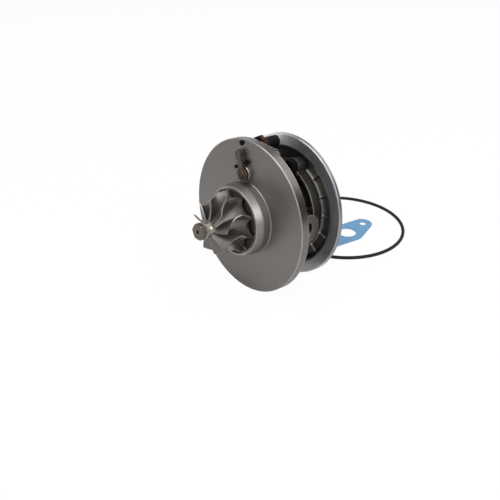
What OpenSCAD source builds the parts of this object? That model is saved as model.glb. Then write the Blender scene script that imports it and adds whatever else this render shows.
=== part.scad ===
// Turbo cartridge: the centre housing of a variable-vane turbocharger with its rotor, vane lever and seals.
// The shaft lies along Y, the turbine towards -Y and the compressor towards +Y, +Z is up.
// The origin is on the shaft axis, at the front edge of the turbine flange's rim wall.
// Angles round the shaft are counted from +X towards +Z.

/* [Bearing housing] */
// Radius of the turbine-side flange
flange_r = 61; // [60:0.25:63]
// Length of the turbine flange's rim wall
flange_t = 6.3; // [5.8:0.1:6.8]
// Chamfer on the front edge of the turbine flange
flange_edge = 0.6; // [0.4:0.1:1]
// Radius of the spigot in front of the turbine flange
spigot_r = 28.5; // [28.2:0.1:29]
// Length of the spigot's straight part
spigot_straight = 7; // [6:0.25:8]
// Length of the spigot's tapered nose
spigot_taper = 6.2; // [5.8:0.1:7]
// Radius at the tip of the tapered nose
spigot_tip_r = 27.2; // [27:0.1:27.6]
// Radius of the waist between the flanges
waist_r = 23; // [21.5:0.25:24.5]
// Distance from the rim's front edge to the compressor-side flange
rear_flange_y = 36.4; // [36:0.1:38]
// Thickness of the compressor-side flange
rear_flange_t = 11; // [10.5:0.1:11.5]
// Radius of the compressor-side flange
rear_flange_r = 36.5; // [36:0.1:37]
// Wall left outside the pockets of the compressor-side flange
pocket_wall = 1.8; // [1.4:0.1:2.4]
// Depth of the pockets in the compressor-side flange
pocket_depth = 8; // [6:0.25:8.5]

/* [Oil ports] */
// Distance from the rim's front edge to the axis of the oil ports
port_y = 22.4; // [22:0.1:22.8]
// Distance from the shaft axis to the oil inlet's face
inlet_x = 44; // [42:0.5:46]
// Radius of the oil inlet boss
inlet_boss_r = 12; // [11:0.25:12.5]
// Radius of the oil inlet's tapped hole
inlet_hole_r = 5.2; // [4.5:0.1:5.6]
// Depth of the oil inlet's tapped hole
inlet_depth = 14; // [12:0.5:16]
// Radius of the drilled oil feeds
feed_r = 1.6; // [1.2:0.1:2]
// Distance from the shaft axis to the oil drain's face
drain_x = 48; // [47.5:0.25:49]
// Thickness of the oil drain flange
drain_flange_t = 9; // [7:0.5:10]
// Radius of the oil drain hole
drain_hole_r = 8.2; // [7.5:0.1:8.8]
// Half the distance between the oil drain's bolts
drain_half_pitch = 24.3; // [23.5:0.1:26]
// Radius of the oil drain flange round its hole
drain_mid_r = 14.9; // [14:0.1:15.2]
// Radius of the oil drain flange round its bolts
drain_end_r = 8.8; // [8:0.1:9.4]
// Radius of the tapped holes in the oil drain flange
drain_tap_r = 2.5; // [2.1:0.1:3]

/* [Turbine wheel] */
// Radius of the turbine wheel
turbine_r = 24; // [23:0.1:24.4]
// Radius of the blades at the turbine's outlet
turbine_outlet_r = 20; // [19:0.1:21]
// Width of a turbine blade at the wheel's rim
turbine_inlet_w = 7; // [6:0.1:8]
// Distance from the front of the back disc to the outlet tips
turbine_len = 21.5; // [20:0.25:23]
// Radius of the turbine hub at the outlet
turbine_hub_r = 6.6; // [6.3:0.1:7.2]
// Number of turbine blades
turbine_blades = 9; // [8:1:11]
// Angle at which a turbine blade starts forward at its inlet, taken over the blade's length
turbine_lean = 44; // [36:0.5:50]
// Angle by which a turbine blade bends back at its outlet
turbine_bend = 19.5; // [14:0.5:24]
// Thickness of the turbine's back disc at the rim
turbine_disc_t = 1.4; // [1.2:0.1:1.8]
// Depth of the scallops between the turbine blades
scallop = 6.4; // [4:0.1:6.8]
// Across flats of the hexagon on the turbine's nose
nose_flats = 11.3; // [10.5:0.1:11.8]
// Length of the hexagon on the turbine's nose
nose_hex_len = 4.5; // [3.5:0.25:5.5]
// Length of the ground neck behind the hexagon
nose_neck_len = 5; // [4:0.25:6]

/* [Compressor wheel] */
// Radius of the compressor wheel
compressor_r = 26; // [24.5:0.25:27.5]
// Radius of the blades at the compressor's inlet
compressor_inlet_r = 19; // [17.5:0.25:20.5]
// Width of a compressor blade at the wheel's rim
compressor_tip_w = 3; // [2.4:0.1:3.6]
// Height of the compressor blades above the back disc
compressor_h = 19.6; // [18:0.2:21]
// Radius of the compressor hub at the inlet
compressor_hub_r = 6.2; // [5.8:0.1:6.8]
// Number of full blades, with as many short ones between
compressor_blades = 6; // [5:1:7]

/* [Compressor backplate] */
// Radius of the backplate's ring
ring_r = 58; // [57.6:0.1:59]
// Radius at the inner edge of the ring's machined face
ring_in_r = 48.8; // [48.2:0.1:49.5]
// Height of the ring's face in front of the seat on the housing
ring_rise = 5.2; // [4.6:0.1:5.6]
// Thickness of the ring's rim
ring_t = 3.4; // [3:0.1:3.8]
// Thickness of the backplate behind the seat on the housing
plate_t = 6; // [5.6:0.1:7]
// Radius of the spigot that centres the compressor cover
cover_spigot_r = 52; // [51:0.1:52.4]
// Length of the spigot that centres the compressor cover
cover_spigot_len = 4.4; // [4:0.1:4.8]
// Number of ribs on a full circle
rib_count = 16; // [14:1:18]
// Angle of the first rib
rib_phase = 4.5; // [0:0.5:10]
// Thickness of a rib
rib_t = 1.5; // [1:0.1:2]
// Depth of the pockets between the ribs
rib_depth = 3; // [2:0.1:3.4]
// Height of the dish's collar over the seat on the housing
dish_rise = 3.4; // [2.8:0.1:3.8]
// Width of the slope from the dish up to the ring
dish_slope = 3.6; // [2.6:0.1:4.4]
// Radius of the circle of the backplate's bolts
bolt_circle_r = 38.5; // [37.5:0.1:39.5]
// Radius of the backplate's bolts
bolt_r = 3; // [2.5:0.1:3.2]
// Radius of the ears for the bolts
ear_r = 6.2; // [6:0.1:6.6]

/* [Vane lever] */
// Sideways place of the lever shaft
pivot_x = -3.2; // [-4:0.1:-2.4]
// Height of the lever shaft above the rotor's axis
pivot_z = 35; // [34.6:0.1:36]
// Radius of the lever shaft
lever_shaft_r = 3.5; // [3.2:0.1:3.7]
// Radius of the vane lever's round head
lever_head_r = 5.4; // [5.2:0.1:5.6]
// Distance from the lever shaft to the vane lever's finger
lever_len = 15.7; // [14.8:0.1:16.2]
// Angle at which the vane lever stands
lever_angle = 112; // [110:0.5:114]
// Width of the vane lever's arm
lever_w = 4.6; // [4:0.1:5]
// Thickness of the vane lever
lever_t = 2.7; // [2.4:0.1:3]
// Radius of the vane lever's finger
finger_r = 2.7; // [2.4:0.1:2.8]
// Length by which the finger stands forward
finger_len = 0.6; // [0.4:0.1:1.4]
// Distance from the lever shaft to the actuator rod's pin
rod_arm = 20.5; // [20:0.1:21.5]
// Radius of the actuator rod's pin
rod_pin_r = 4.6; // [4:0.1:4.8]
// Length of the actuator rod's pin
rod_pin_len = 16.6; // [12:0.1:17.6]
// Width of the outer lever
outer_w = 9; // [8.4:0.1:9.4]
// Thickness of the outer lever
outer_t = 3; // [2.6:0.1:3.4]

/* [Rotor and bearings] */
// Radius of the shaft in its bearings
journal_r = 4; // [3.8:0.05:4.2]
// Radius of the shaft's thin end
stud_r = 2.5; // [2.3:0.05:2.7]
// Outer radius of the floating bearings
bearing_r = 6.5; // [6.3:0.05:6.8]
// Length of a floating bearing
bearing_len = 7; // [6:0.1:7.4]
// Distance from the rim's front edge to the turbine-side bearing
bearing_y = 3.6; // [3:0.1:4.5]
// Radius of the seal boss behind the turbine wheel
seal_boss_r = 8.3; // [8:0.05:8.5]
// Radius of the seal sleeve at the compressor end
sleeve_r = 7; // [6.8:0.05:7.2]
// Outer radius of the thrust bearing
thrust_r = 15; // [14:0.25:17]
// Thickness of the thrust bearing
thrust_t = 3; // [2.6:0.1:3.4]

/* [Loose seals] */
// Cord diameter of the compressor cover's O-ring
cord_d = 3; // [2.4:0.1:3.4]
// Sideways place of the O-ring on the floor
o_ring_x = -14; // [-20:1:-8]
// Place of the O-ring along the floor, from the turbine flange
o_ring_y = 126.8; // [122:0.2:132]
// Thickness of the oil drain gasket
gasket_t = 1; // [0.6:0.1:1.5]
// Sideways place of the gasket on the floor
gasket_x = -1.2; // [-4:0.2:2]
// Place of the gasket along the floor, from the turbine flange
gasket_y = 122.7; // [118:0.1:126]
// Radius of the bolt holes in the gasket
gasket_bolt_r = 3.3; // [2.6:0.1:3.6]

/* [Fits] */
// Radial clearance of a shaft that turns in its bearing
running_gap = 0.03; // [0.02:0.01:0.06]
// Radial clearance of pieces pressed together
press_gap = 0.02; // [0.01:0.01:0.04]
// Clearance between neighbours that move past each other
side_gap = 0.3; // [0.25:0.05:0.4]

/* [Hidden] */
$fn = 96;
face_y = -flange_edge;

// Turbine end
spigot_tip_y = face_y - spigot_straight - spigot_taper;
spigot_wall = 1;
shield_bore_r = spigot_tip_r - spigot_wall;
shield_t = 0.8;
shield_lip = 0.5;
shield_ledge = 2.2;
wheel_setback = 0.6;
wheel_back_y = spigot_tip_y + wheel_setback;
wheel_rim_y = wheel_back_y - turbine_disc_t;
shield_y = wheel_back_y + 1;
shield_rear_y = shield_y + shield_t;
nose_y = shield_rear_y + 1.2;
housing_nose_r = seal_boss_r + 3.2;
recess_y = face_y - 2;
seal_bore_r = seal_boss_r + 0.4;
boss_end_y = face_y - 4;
shoulder_y = boss_end_y + 0.6;
seal_t = 1.6;
seal_depth = 1.1;
groove_depth = seal_depth + side_gap;
turbine_seal_y = nose_y + 2;

// Compressor end
seat_y = rear_flange_y + rear_flange_t;
plate_y = seat_y + plate_t;
collar_r = 8;
collar_t = 2;
thrust_gap = 0.1;
thrust_neck_r = stud_r + 2.1;
thrust_hole_circle_r = (collar_r + thrust_r) / 2;
thrust_hole_r = 1.2;
thrust_end_y = seat_y - 6.3;
thrust_y = thrust_end_y - thrust_t;
step_y = thrust_y - thrust_gap - collar_t;
collar_pocket_y = step_y - 0.7;
flinger_y = thrust_end_y + thrust_gap;
flinger_end_y = flinger_y + collar_t;
chamber_r = 22;
chamber_ledge = 1.5;
deflector_t = 0.8;
pilot_y = seat_y - 3;
deflector_y = pilot_y - deflector_t;
pilot_cord = 1.5;
pilot_groove_y = seat_y - 1;
sleeve_bore_r = sleeve_r + 0.35;
compressor_seal_y = seat_y + (plate_t - seal_t) / 2;
ring_y = seat_y - ring_rise;
ring_rear_y = ring_y + ring_t;
seat_margin = 0.4;
rib_top_y = seat_y - dish_rise;
collar_wall = 1;
pocket_slope = 0.6;
pocket_y = rib_top_y + rib_depth;

// Floating bearings and their retaining rings
bore_r = bearing_r + running_gap + 0.02;
circlip_t = 1;
circlip_gap = 40;
circlip_in_r = journal_r + 1.2;
circlip_r = bore_r + 0.8;
bearing_side = 0.2;
rear_bearing_y = collar_pocket_y - 0.6 - circlip_t - bearing_side - bearing_len;
circlip_places = [
    bearing_y - bearing_side - circlip_t,
    bearing_y + bearing_len + bearing_side,
    rear_bearing_y - bearing_side - circlip_t,
    rear_bearing_y + bearing_len + bearing_side
];

// Oil ways inside the housing
feed_x = inlet_x - inlet_depth + 1;
return_x = bore_r + 8;
return_r = 4.6;
gallery_r = 2.6;

// Compressor wheel and nut
compressor_back_y = plate_y + 0.8;
compressor_rim_y = compressor_back_y + 1.2;
compressor_top_y = compressor_rim_y + compressor_h + 3;
nut_h = 5;
nut_flats = 9;
nut_bevel = 0.8;
stud_end_y = compressor_top_y + nut_h + 1.5;

// Bolts of the backplate
bolt_angles = [76, 130, 230, 284];
bolt_grip = 4.8;
bolt_head_h = 5;
bolt_flats = 10;
pocket_spans = [[16, 66], [92, 116], [244, 268], [294, 344]];
smooth_from = 70;
smooth_to = 118;

// Vane lever
bush_r = lever_shaft_r + 1.5;
bush_flange_r = lever_head_r + 0.2;
bush_flange_t = 0.4;
bush_boss_t = 2;
bush_front_y = face_y - bush_flange_t;
bush_end_y = flange_t + bush_boss_t + 0.3;
washer_t = 1;
washer_gap = 0.15;
washer_y = bush_front_y - washer_gap - washer_t;
lever_y = washer_y - lever_t;
outer_y = bush_end_y + side_gap;
outer_end_y = outer_y + outer_t;
rod_angle = 88.9;
outer_eye = 3.5;
outer_tip = 8.2;
outer_shoulder = 4.5;
rivet_r = rod_pin_r - 1.6;
pin_edge = 0.6;
rod_pin_x = pivot_x + rod_arm * cos(rod_angle);
rod_pin_z = pivot_z + rod_arm * sin(rod_angle);
stop_pin_r = 1.5;
stop_pin_arc = 9.7;
stop_pin_spread = [51, -32];
stop_pin_y = lever_y + 1.7;
dowel_r = 1.8;
dowel_inset = 3;
dowel_angle = 99.3;
dowel_x = (flange_r - dowel_inset) * cos(dowel_angle);
dowel_z = (flange_r - dowel_inset) * sin(dowel_angle);
swing = 5;
screw_r = 2;
screw_z = pivot_z + 19.2;
screw_y = (outer_y + outer_end_y) / 2;
screw_tip_x = pivot_x + (screw_z + screw_r - pivot_z) * tan(swing - rod_angle + 90)
    + outer_w / 2 / cos(swing - rod_angle + 90) + 0.35;
lock_nut_x = screw_tip_x + 4.4;
lock_nut_t = 3.2;
lock_nut_flats = 7;
lug_x = lock_nut_x + lock_nut_t;
lug_t = 4;
lug_r = 3.4;

// Loose seals, on the plane that touches both rims from below
o_ring_squeeze = 1;
o_ring_r = ring_r - o_ring_squeeze + cord_d / 2;
floor_lean = atan((flange_r - ring_r) / (ring_rear_y - flange_t));
gasket_turn = 4.7;

// A solid turned about the shaft axis from points of [radius, place along the shaft]
module turned(profile) rotate([-90, 0, 0]) rotate_extrude() polygon(profile);

// The same profile swept only from one angle to another
module turned_arc(profile, from, to)
    rotate([0, -to, 0]) rotate([-90, 0, 0]) rotate_extrude(angle = to - from) polygon(profile);

// Round bars along the shaft and across it
module rod_y(x, z, r, y0, y1) translate([x, y0, z]) rotate([-90, 0, 0]) cylinder(r = r, h = y1 - y0);
module rod_x(y, z, r, x0, x1) translate([x0, y, z]) rotate([0, 90, 0]) cylinder(r = r, h = x1 - x0);

// A flat piece whose outline is drawn in X and Z
module plate(y0, y1) translate([0, y1, 0]) rotate([90, 0, 0]) linear_extrude(y1 - y0) children();

// Children carried to an angle and a radius round the shaft
module around(angle, r) rotate([0, -angle, 0]) translate([r, 0, 0]) children();

// Six-sided bar along the shaft, given across its flats
module hexagon(flats, y0, y1)
    translate([0, y0, 0]) rotate([-90, 0, 0]) cylinder(r = flats / sqrt(3), h = y1 - y0, $fn = 6);

// Outline of the oil drain: a round middle with two round ends and straight tangents between
module drain_outline() {
    slope = asin((drain_mid_r - drain_end_r) / drain_half_pitch);
    middle = drain_mid_r * [cos(slope), sin(slope)];
    end = [drain_end_r * cos(slope), drain_half_pitch + drain_end_r * sin(slope)];
    circle(r = drain_mid_r);
    for (side = [-1, 1]) translate([0, side * drain_half_pitch]) circle(r = drain_end_r);
    polygon([
        middle, end, [-end[0], end[1]], [-middle[0], middle[1]],
        -middle, -end, [end[0], -end[1]], [middle[0], -middle[1]]
    ]);
}

// Outline of the seat between housing and backplate: a disc with an ear for each bolt
module seat_outline(r) {
    circle(r = r);
    for (a = bolt_angles) translate(bolt_circle_r * [cos(a), sin(a)]) circle(r = ear_r);
}

// Children set on the floor plane, x sideways and y along it
module on_floor(x, y)
    translate([0, flange_t, -flange_r]) rotate([floor_lean, 0, 0]) translate([x, y, 0]) children();

// One wheel blade, a skin of even thickness between a root curve and a tip curve.
// Each curve is a list of [radius, place along the shaft], with the blade's angle at each point.
module blade(root, tip, root_angle, tip_angle, root_t, tip_t, spans) {
    last = len(root) - 1;
    row = spans + 1;
    function mix(a, b, s) = a + (b - a) * s;
    function middle(i, s) =
        let (p = mix(root[i], tip[i], s), a = mix(root_angle[i], tip_angle[i], s))
        [p[0] * cos(a), p[1], p[0] * sin(a)];
    function across(i, s) =
        let (n = cross(middle(min(i + 1, last), s) - middle(max(i - 1, 0), s),
                       middle(i, s + 0.02) - middle(i, s - 0.02)))
        n / norm(n);
    function skin(side) = [
        for (i = [0 : last]) for (j = [0 : spans])
            middle(i, j / spans) + side * mix(root_t, tip_t, j / spans) / 2 * across(i, j / spans)
    ];
    function at(side, i, j) = side * (last + 1) * row + i * row + j;
    function quad(a, b, c, d) = [[a, b, c], [a, c, d]];
    faces = [
        for (i = [0 : last - 1]) for (j = [0 : spans - 1])
            each quad(at(0, i, j), at(0, i, j + 1), at(0, i + 1, j + 1), at(0, i + 1, j)),
        for (i = [0 : last - 1]) for (j = [0 : spans - 1])
            each quad(at(1, i, j), at(1, i + 1, j), at(1, i + 1, j + 1), at(1, i, j + 1)),
        for (i = [0 : last - 1])
            each quad(at(0, i, 0), at(0, i + 1, 0), at(1, i + 1, 0), at(1, i, 0)),
        for (i = [0 : last - 1])
            each quad(at(0, i + 1, spans), at(0, i, spans), at(1, i, spans), at(1, i + 1, spans)),
        for (j = [0 : spans - 1])
            each quad(at(0, 0, j + 1), at(0, 0, j), at(1, 0, j), at(1, 0, j + 1)),
        for (j = [0 : spans - 1])
            each quad(at(0, last, j), at(0, last, j + 1), at(1, last, j + 1), at(1, last, j))
    ];
    polyhedron(points = concat(skin(1), skin(-1)), faces = faces);
}

// Quarter ellipse from [r0, y0], leaving towards the shaft, to [r1, y1], arriving along it
function sweep(r0, y0, r1, y1, t) = [r0 - (r0 - r1) * sin(90 * t), y1 - (y1 - y0) * cos(90 * t)];

// Cast iron centre housing: turbine flange and spigot, waist, compressor-side flange and oil ports
module bearing_housing() color("#4a4744") difference() {
    union() {
        turned([
            [0, nose_y], [housing_nose_r, nose_y], [housing_nose_r, recess_y],
            [shield_bore_r - shield_ledge, recess_y], [shield_bore_r - shield_ledge, shield_rear_y],
            [shield_bore_r, shield_rear_y], [shield_bore_r, spigot_tip_y], [spigot_tip_r - 0.3, spigot_tip_y],
            [spigot_tip_r, spigot_tip_y + 0.3], [spigot_r, face_y - spigot_straight],
            [spigot_r, face_y - 0.5], [spigot_r + 0.5, face_y],
            [flange_r - flange_edge, face_y], [flange_r, 0], [flange_r, flange_t],
            [waist_r + 4, flange_t + 0.6], [waist_r, flange_t + 6],
            [waist_r, rear_flange_y - 3], [waist_r + 3, rear_flange_y],
            [waist_r + 3, rear_flange_y + 1], [0, rear_flange_y + 1]
        ]);
        plate(rear_flange_y, seat_y) seat_outline(rear_flange_r);
        rod_x(port_y, 0, inlet_boss_r, waist_r - 8, inlet_x);
        rod_x(port_y, 0, drain_mid_r - 2, -drain_x + 1, -waist_r + 8);
        translate([-drain_x, port_y, 0]) rotate([90, 0, 90]) linear_extrude(drain_flange_t) drain_outline();
        rod_y(pivot_x, pivot_z, bush_r + 3, flange_t - 1, flange_t + bush_boss_t);
        rod_x(screw_y, screw_z, lug_r, lug_x, lug_x + lug_t);
        translate([lug_x, flange_t - 1, screw_z - lug_r]) cube([lug_t, screw_y - flange_t + 1, 2 * lug_r]);
    }
    turned([
        [0, nose_y - 1], [seal_bore_r, nose_y - 1], [seal_bore_r, shoulder_y], [bore_r, shoulder_y],
        [bore_r, collar_pocket_y], [collar_r + 0.6, collar_pocket_y], [collar_r + 0.6, thrust_y],
        [thrust_r + press_gap, thrust_y], [thrust_r + press_gap, thrust_end_y],
        [chamber_r - chamber_ledge, thrust_end_y], [chamber_r - chamber_ledge, deflector_y],
        [chamber_r, deflector_y], [chamber_r, seat_y + 1], [0, seat_y + 1]
    ]);
    for (y = circlip_places) turned([
        [bore_r - 1, y - 0.02], [circlip_r + press_gap, y - 0.02],
        [circlip_r + press_gap, y + circlip_t + 0.02], [bore_r - 1, y + circlip_t + 0.02]
    ]);
    for (span = pocket_spans) turned_arc([
        [waist_r + 3, rear_flange_y - 1], [rear_flange_r - pocket_wall, rear_flange_y - 1],
        [rear_flange_r - pocket_wall, rear_flange_y + pocket_depth],
        [waist_r + 4, rear_flange_y + pocket_depth]
    ], span[0], span[1]);
    for (a = bolt_angles)
        around(a, bolt_circle_r) rod_y(0, 0, bolt_r + side_gap, rear_flange_y - 1, seat_y + 1);
    rod_x(port_y, 0, inlet_hole_r, inlet_x - inlet_depth, inlet_x + 1);
    translate([inlet_x + 0.01, port_y, 0]) rotate([0, -90, 0])
        cylinder(r1 = inlet_hole_r + 1, r2 = inlet_hole_r, h = 1);
    for (y = [bearing_y, rear_bearing_y])
        let (feed = [journal_r - feed_x, y + bearing_len / 2 - port_y])
        translate([feed_x, port_y, 0]) rotate([0, 0, atan2(feed[1], feed[0])])
            rotate([0, 90, 0]) cylinder(r = feed_r, h = norm(feed) - 1);
    rod_x(port_y, 0, drain_hole_r, -drain_x - 1, -return_x);
    rod_x(port_y, 0, gallery_r, -return_x - 1, 0);
    rod_y(-return_x, 0, return_r, port_y, thrust_end_y + 0.5);
    for (side = [-1, 1])
        rod_x(port_y, side * drain_half_pitch, drain_tap_r, -drain_x - 1, -drain_x + drain_flange_t + 1);
    rod_y(pivot_x, pivot_z, bush_r + press_gap, face_y - 1, flange_t + bush_boss_t + 1);
    for (spread = stop_pin_spread) translate([pivot_x, 0, pivot_z])
        around(lever_angle + spread, stop_pin_arc) rod_y(0, 0, stop_pin_r + press_gap, face_y - 1, 3);
    rod_y(dowel_x, dowel_z, dowel_r + press_gap, face_y - 1, 4);
    rod_y(dowel_x, dowel_z, dowel_r + 0.8, face_y - 1, face_y + 0.8);
    rod_x(screw_y, screw_z, screw_r + press_gap, lug_x - 1, lug_x + lug_t + 1);
}

// Pressed steel cup behind the turbine wheel, seated on the ledge in the spigot
module heat_shield() color("#5a5854") turned([
    [seal_boss_r + 0.9, shield_y], [shield_bore_r - press_gap - shield_t, shield_y],
    [shield_bore_r - press_gap - shield_t, spigot_tip_y - shield_lip],
    [shield_bore_r - press_gap, spigot_tip_y - shield_lip],
    [shield_bore_r - press_gap, shield_rear_y], [seal_boss_r + 0.9, shield_rear_y]
]);

// Flanged steel bush for the lever shaft, pressed into the turbine flange
module lever_bush() color("#8d8a86") translate([pivot_x, 0, pivot_z]) turned([
    [lever_shaft_r + running_gap, bush_front_y], [bush_flange_r, bush_front_y], [bush_flange_r, face_y],
    [bush_r, face_y], [bush_r, bush_end_y], [lever_shaft_r + running_gap, bush_end_y]
]);

// Two pins in the flange that end the vane lever's travel
module vane_stop_pins() color("#2d2b2a")
    for (spread = stop_pin_spread) translate([pivot_x, 0, pivot_z])
        around(lever_angle + spread, stop_pin_arc) rod_y(0, 0, stop_pin_r, stop_pin_y, 3);

// Dowel near the rim that turns the nozzle assembly to its place
module nozzle_dowel() color("#3a3836") rod_y(dowel_x, dowel_z, dowel_r, face_y - 1.2, 4);

// Adjusting screw against which the outer lever comes to rest
module stop_screw() color("#c9c7c0") union() {
    rod_x(screw_y, screw_z, screw_r, screw_tip_x + 0.6, lug_x + lug_t + 3);
    translate([screw_tip_x, screw_y, screw_z]) rotate([0, 90, 0])
        cylinder(r1 = screw_r - 0.6, r2 = screw_r, h = 0.6);
}

// Hexagon nut that locks the adjusting screw against its lug
module stop_lock_nut() color("#d6d3cb") difference() {
    translate([lock_nut_x, screw_y, screw_z]) rotate([0, 90, 0])
        cylinder(r = lock_nut_flats / sqrt(3), h = lock_nut_t, $fn = 6);
    rod_x(screw_y, screw_z, screw_r + press_gap, lock_nut_x - 1, lock_nut_x + lock_nut_t + 1);
}

// Aluminium plate behind the compressor wheel: machined ring, ribbed dish, pilot and cover spigot
module compressor_backplate() color("#9a9b9f") difference() {
    turned([
        [sleeve_bore_r, pilot_y], [chamber_r - press_gap, pilot_y],
        [chamber_r - press_gap, pilot_groove_y - pilot_cord / 2 - 0.05],
        [chamber_r - pilot_cord - 0.1, pilot_groove_y - pilot_cord / 2 - 0.05],
        [chamber_r - pilot_cord - 0.1, pilot_groove_y + pilot_cord / 2 + 0.05],
        [chamber_r - press_gap, pilot_groove_y + pilot_cord / 2 + 0.05],
        [chamber_r - press_gap, seat_y], [rear_flange_r + seat_margin, seat_y],
        [rear_flange_r + seat_margin, rib_top_y], [ring_in_r - dish_slope, rib_top_y], [ring_in_r, ring_y],
        [ring_r - 0.8, ring_y], [ring_r, ring_y + 0.8], [ring_r, ring_rear_y - 0.3],
        [ring_r - 0.3, ring_rear_y], [cover_spigot_r, ring_rear_y],
        [cover_spigot_r, ring_rear_y + cover_spigot_len - 0.4],
        [cover_spigot_r - 0.4, ring_rear_y + cover_spigot_len],
        [cover_spigot_r - 5, plate_y], [sleeve_bore_r, plate_y]
    ]);
    for (k = [0 : rib_count - 1])
        let (pitch = 360 / rib_count,
             from = rib_phase + k * pitch,
             wall_r = rear_flange_r + seat_margin + collar_wall,
             half_rib = asin(rib_t / 2 / rear_flange_r))
        if (from + pitch < smooth_from + 5 || from > smooth_to - 5)
            turned_arc([
                [wall_r, ring_y], [wall_r, rib_top_y], [wall_r + pocket_slope, pocket_y],
                [ring_in_r - 4.2, pocket_y], [ring_in_r - 1.8, rib_top_y - 1], [ring_in_r - 1.8, ring_y]
            ], from + half_rib, from + pitch - half_rib);
    for (a = bolt_angles) around(a, bolt_circle_r) {
        rod_y(0, 0, ear_r + seat_margin, ring_y, seat_y + 0.05);
        rod_y(0, 0, bolt_r + press_gap, seat_y - 1, seat_y + bolt_grip + 0.2);
    }
}

// Hexagon bolts that hold the backplate, heads towards the turbine
module backplate_bolts() color("#262524")
    for (a = bolt_angles) around(a, bolt_circle_r) {
        rod_y(0, 0, bolt_r, rear_flange_y - bolt_head_h / 2, seat_y + bolt_grip);
        rotate([0, 30, 0]) hexagon(bolt_flats, rear_flange_y - bolt_head_h, rear_flange_y);
    }

// Rubber ring in the groove of the backplate's pilot
module backplate_seal_ring() color("#1b1b1b") rotate([-90, 0, 0]) translate([0, 0, pilot_groove_y])
    rotate_extrude() translate([chamber_r - press_gap - pilot_cord / 2, 0]) circle(d = pilot_cord, $fn = 24);

// Bronze plate between the thrust collar and the flinger
module thrust_bearing() color("#b08d4a") difference() {
    turned([
        [thrust_neck_r + side_gap, thrust_y], [thrust_r, thrust_y],
        [thrust_r, thrust_end_y], [thrust_neck_r + side_gap, thrust_end_y]
    ]);
    for (a = [45 : 90 : 315])
        around(a, thrust_hole_circle_r) rod_y(0, 0, thrust_hole_r, thrust_y - 1, thrust_end_y + 1);
}

// Thin steel disc that keeps oil off the compressor's seal
module oil_deflector() color("#77756f") turned([
    [sleeve_r + 0.4, deflector_y], [chamber_r - press_gap, deflector_y],
    [chamber_r - press_gap, pilot_y], [sleeve_r + 0.4, pilot_y]
]);

// Split seal ring, sprung into the housing's bore and running in the wheel's groove
module turbine_piston_ring() color("#6b6762") turned_arc([
    [seal_boss_r - seal_depth, turbine_seal_y], [seal_bore_r - press_gap, turbine_seal_y],
    [seal_bore_r - press_gap, turbine_seal_y + seal_t], [seal_boss_r - seal_depth, turbine_seal_y + seal_t]
], 2, 358);

// Split seal ring, sprung into the backplate's bore and running in the sleeve's groove
module compressor_piston_ring() color("#6b6762") turned_arc([
    [sleeve_r - seal_depth, compressor_seal_y], [sleeve_bore_r - press_gap, compressor_seal_y],
    [sleeve_bore_r - press_gap, compressor_seal_y + seal_t],
    [sleeve_r - seal_depth, compressor_seal_y + seal_t]
], 2, 358);

// Four open spring rings that keep the floating bearings in place
module bearing_retaining_rings() color("#55524e")
    for (y = circlip_places) turned_arc([
        [circlip_in_r, y], [circlip_r, y], [circlip_r, y + circlip_t], [circlip_in_r, y + circlip_t]
    ], circlip_gap / 2, 360 - circlip_gap / 2);

// Cast turbine wheel: scalloped back disc, bent blades, ground neck and hexagon nose, seal boss behind
module turbine_wheel() {
    hub_end_y = wheel_rim_y - turbine_len - 2;
    neck_y = hub_end_y - nose_neck_len;
    nose_end_y = neck_y - nose_hex_len;
    tip_y0 = wheel_rim_y - turbine_inlet_w;
    tip_y1 = wheel_rim_y - turbine_len;
    pitch = 360 / turbine_blades;
    phase = 28.5;
    bury = 0.7;
    steps = 11;
    function along(y) = max(0, (wheel_rim_y - y) / turbine_len);
    function bend(y) = phase + turbine_lean * along(y) - (turbine_lean + turbine_bend) * pow(along(y), 2.2);
    hub = [for (i = [0 : steps]) sweep(turbine_r, wheel_rim_y, turbine_hub_r, hub_end_y, i / steps)];
    root = [for (i = [0 : steps]) hub[i] + bury * [-sin(90 * i / steps), cos(90 * i / steps)]];
    tip = [for (i = [0 : steps]) sweep(turbine_r, tip_y0, turbine_outlet_r, tip_y1, i / steps)];
    scallop_r = turbine_r * sin(pitch / 2) * 0.94;
    color("#8a827c") difference() {
        turned(concat(
            [
                [0, boss_end_y], [seal_boss_r, boss_end_y],
                [seal_boss_r, turbine_seal_y + seal_t + side_gap],
                [seal_boss_r - groove_depth, turbine_seal_y + seal_t + side_gap],
                [seal_boss_r - groove_depth, turbine_seal_y - side_gap],
                [seal_boss_r, turbine_seal_y - side_gap],
                [seal_boss_r, wheel_back_y], [turbine_r, wheel_back_y]
            ],
            hub,
            [
                [turbine_hub_r - 0.3, hub_end_y - 0.6], [turbine_hub_r - 0.3, neck_y + 1],
                [turbine_hub_r - 1.3, neck_y], [0, neck_y]
            ]
        ));
        for (k = [0 : turbine_blades - 1])
            around(phase + (k + 0.5) * pitch, turbine_r - scallop + scallop_r)
                rod_y(0, 0, scallop_r, wheel_rim_y - 4, wheel_back_y + 1);
    }
    color("#8a827c") for (k = [0 : turbine_blades - 1]) rotate([0, -k * pitch, 0])
        blade(root, tip, [for (p = root) bend(p[1])], [for (p = tip) bend(p[1])], 1.6, 0.8, 4);
    color("#8a827c") difference() {
        intersection() {
            hexagon(nose_flats, nose_end_y, neck_y + 0.5);
            turned([
                [0, nose_end_y], [nose_flats / 2, nose_end_y], [nose_flats / 2 + 1.2, nose_end_y + 1.2],
                [nose_flats / 2 + 1.2, neck_y + 1], [0, neck_y + 1]
            ]);
        }
        turned([[0, nose_end_y - 1], [1.5, nose_end_y - 1], [1.5, nose_end_y + 1.2], [0, nose_end_y + 2.7]]);
    }
}

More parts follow.
